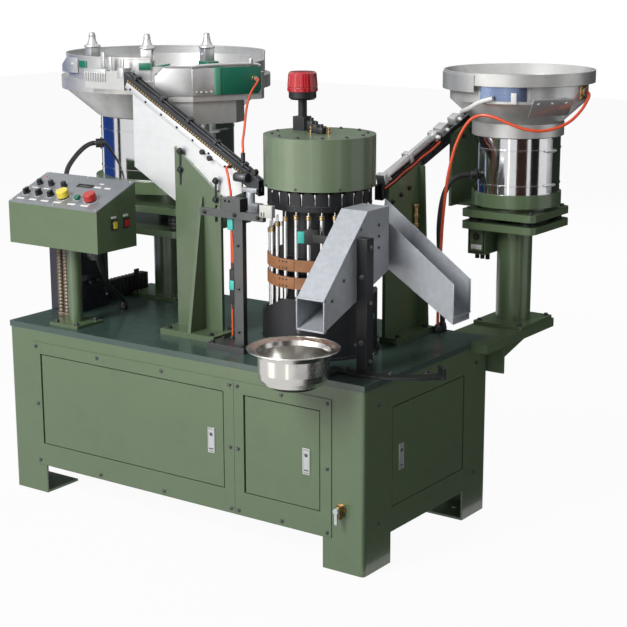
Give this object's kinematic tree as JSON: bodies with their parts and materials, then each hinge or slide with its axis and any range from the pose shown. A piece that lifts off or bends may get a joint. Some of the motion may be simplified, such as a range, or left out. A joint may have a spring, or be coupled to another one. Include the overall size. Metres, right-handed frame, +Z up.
{
  "type": "screw and washer assembly machine",
  "caption": "Table machine that joins washers to screws: a rotary turret under a hood, fed by bowl feeders through sloping tracks, with a control console, chute and pot.",
  "frame": {"origin": "centre of the cabinet's four anchor holes, on the floor", "axes": "+Z up, +X to the operator's right along the cabinet, -Y towards the operator"},
  "size_m": [1.8877, 1.4739, 1.568],
  "materials": {
    "green_paint": "semi-gloss green enamel",
    "pale_green_paint": "semi-gloss pale green enamel",
    "table_paint": "glossy dark green enamel",
    "panel_sheet": "satin",
    "cast_bowl": "turned and polished",
    "drum_sheet": "polished sheet",
    "bright_plate": "satin",
    "rail_steel": "ground and blackened",
    "dark_steel": "blackened",
    "rod_steel": "ground",
    "band_leather": "worn",
    "stand_steel": "milled",
    "galvanised_sheet": "galvanised",
    "pot_steel": "spun",
    "latch_metal": "satin",
    "valve_brass": "plated",
    "black_plastic": "matt",
    "yellow_plastic": "gloss",
    "green_plastic": "gloss",
    "red_plastic": "gloss",
    "red_lens": "clear red",
    "conduit_metal": "zinc armour",
    "black_cable": "matt",
    "orange_hose": "gloss",
    "navy_paint": "satin",
    "gear_grey": "satin",
    "motor_paint": "satin"
  },
  "bodies": {
    "machine": {"corner_legs": "green_paint", "cabinet_walls": "green_paint", "front_panels": "green_paint", "rear_shelf": "green_paint", "console_post": "green_paint", "console_box": "green_paint", "left_column": "green_paint", "left_drive_unit": "green_paint", "right_column": "green_paint", "right_drive_unit": "green_paint", "right_bracket": "green_paint", "turret_hood": "green_paint", "left_bracket": "pale_green_paint", "table_top": "table_paint", "console_panel": "panel_sheet", "left_drum_cover": "drum_sheet", "right_drum_cover": "drum_sheet", "left_track_plate": "bright_plate", "left_track": "rail_steel", "right_track": "rail_steel", "centre_column": "dark_steel", "cam_housing": "dark_steel", "chute_post": "dark_steel", "sensor_stand": "stand_steel", "output_chute": "galvanised_sheet", "drain_valve": "valve_brass", "beacon": "red_lens", "conduits": "conduit_metal", "console_cable": "black_cable", "left_feeder_cable": "black_cable", "right_feeder_cable": "black_cable", "left_air_hose": "orange_hose", "right_air_hose": "orange_hose", "sensor_hose": "orange_hose", "air_unit": "navy_paint", "control_gear": "gear_grey", "gear_motor": "motor_paint"},
    "turret": {"turret_rotor": "dark_steel", "dial_plate": "dark_steel", "work_holders": "dark_steel", "friction_bands": "band_leather"},
    "push_rods": {"push_rods": "rod_steel"},
    "electrical_door": {"electrical_door": "green_paint"},
    "drive_door": {"drive_door": "green_paint"},
    "side_door": {"side_door": "green_paint"},
    "electrical_latch": {"electrical_latch": "latch_metal"},
    "drive_latch": {"drive_latch": "latch_metal"},
    "side_latch": {"side_latch": "latch_metal"},
    "drain_lever": {"drain_lever": "valve_brass"},
    "collecting_pot": {"collecting_pot": "pot_steel"},
    "left_bowl": {"left_bowl": "cast_bowl"},
    "right_bowl": {"right_bowl": "cast_bowl"},
    "selector_1": {"selector_1": "black_plastic"},
    "selector_2": {"selector_2": "black_plastic"},
    "selector_3": {"selector_3": "black_plastic"},
    "yellow_button": {"yellow_button": "yellow_plastic"},
    "green_button": {"green_button": "green_plastic"},
    "emergency_stop": {"emergency_stop": "red_plastic"},
    "yellow_rocker": {"yellow_rocker": "yellow_plastic"},
    "red_rocker": {"red_rocker": "red_plastic"}
  },
  "joints": [
    {"name": "turret_spin", "type": "hinge", "parent": "machine", "child": "turret", "pos_m": [0.355, -0.055, 1], "axis": [0, 0, 1], "continuous": true},
    {"name": "rod_lift", "type": "slide", "parent": "turret", "child": "push_rods", "axis": [0, 0, 1], "range_m": [0, 0.009]},
    {"name": "electrical_door_hinge", "type": "hinge", "parent": "machine", "child": "electrical_door", "pos_m": [-0.581, -0.365, 0.34], "axis": [0, 0, -1], "range_deg": [0, 105]},
    {"name": "drive_door_hinge", "type": "hinge", "parent": "machine", "child": "drive_door", "pos_m": [0.297, -0.365, 0.34], "axis": [0, 0, -1], "range_deg": [0, 105]},
    {"name": "side_door_hinge", "type": "hinge", "parent": "machine", "child": "side_door", "pos_m": [0.727, 0.21, 0.34], "axis": [0, 0, 1], "range_deg": [0, 105]},
    {"name": "electrical_latch_pivot", "type": "hinge", "parent": "electrical_door", "child": "electrical_latch", "pos_m": [0.157, -0.372, 0.3565], "axis": [-1, 0, 0], "range_deg": [0, 35], "stiffness_Nm_per_rad": 0.4, "springref_deg": -5.73},
    {"name": "drive_latch_pivot", "type": "hinge", "parent": "drive_door", "child": "drive_latch", "pos_m": [0.527, -0.372, 0.3565], "axis": [-1, 0, 0], "range_deg": [0, 35], "stiffness_Nm_per_rad": 0.4, "springref_deg": -5.73},
    {"name": "side_latch_pivot", "type": "hinge", "parent": "side_door", "child": "side_latch", "pos_m": [0.734, -0.164, 0.3565], "axis": [0, -1, 0], "range_deg": [0, 35], "stiffness_Nm_per_rad": 0.4, "springref_deg": -5.73},
    {"name": "drain_lever_turn", "type": "hinge", "parent": "machine", "child": "drain_lever", "pos_m": [0.655, -0.4, 0.205], "axis": [0, 1, 0], "range_deg": [0, 90]},
    {"name": "pot_pull", "type": "slide", "parent": "machine", "child": "collecting_pot", "axis": [0, -1, 0], "range_m": [0, 0.25]},
    {"name": "left_bowl_shake", "type": "hinge", "parent": "machine", "child": "left_bowl", "pos_m": [-0.55, 0.275, 1.3], "axis": [0, 0, 1], "range_deg": [-0.15, 0.15], "stiffness_Nm_per_rad": 20000},
    {"name": "right_bowl_shake", "type": "hinge", "parent": "machine", "child": "right_bowl", "pos_m": [0.701, 0.605, 1.3], "axis": [0, 0, 1], "range_deg": [-0.15, 0.15], "stiffness_Nm_per_rad": 10000},
    {"name": "selector_1_turn", "type": "hinge", "parent": "machine", "child": "selector_1", "pos_m": [-0.676, -0.31757, 1.04163], "axis": [0, -0.3746, 0.9272], "range_deg": [-45, 45]},
    {"name": "selector_2_turn", "type": "hinge", "parent": "machine", "child": "selector_2", "pos_m": [-0.618, -0.31757, 1.04163], "axis": [0, -0.3746, 0.9272], "range_deg": [-45, 45]},
    {"name": "selector_3_turn", "type": "hinge", "parent": "machine", "child": "selector_3", "pos_m": [-0.563, -0.31757, 1.04163], "axis": [0, -0.3746, 0.9272], "range_deg": [-45, 45]},
    {"name": "yellow_button_press", "type": "slide", "parent": "machine", "child": "yellow_button", "axis": [0, 0.3746, -0.9272], "range_m": [0, 0.006], "stiffness_N_per_m": 1500, "springref_m": -0.002},
    {"name": "green_button_press", "type": "slide", "parent": "machine", "child": "green_button", "axis": [0, 0.3746, -0.9272], "range_m": [0, 0.004], "stiffness_N_per_m": 1500, "springref_m": -0.002},
    {"name": "emergency_stop_press", "type": "slide", "parent": "machine", "child": "emergency_stop", "axis": [0, 0.3746, -0.9272], "range_m": [0, 0.006], "stiffness_N_per_m": 1500, "springref_m": -0.002},
    {"name": "yellow_rocker_tilt", "type": "hinge", "parent": "machine", "child": "yellow_rocker", "pos_m": [-0.303, -0.292, 0.964], "axis": [0, 1, 0], "range_deg": [-8, 8]},
    {"name": "red_rocker_tilt", "type": "hinge", "parent": "machine", "child": "red_rocker", "pos_m": [-0.303, -0.234, 0.964], "axis": [0, 1, 0], "range_deg": [-8, 8]}
  ]
}
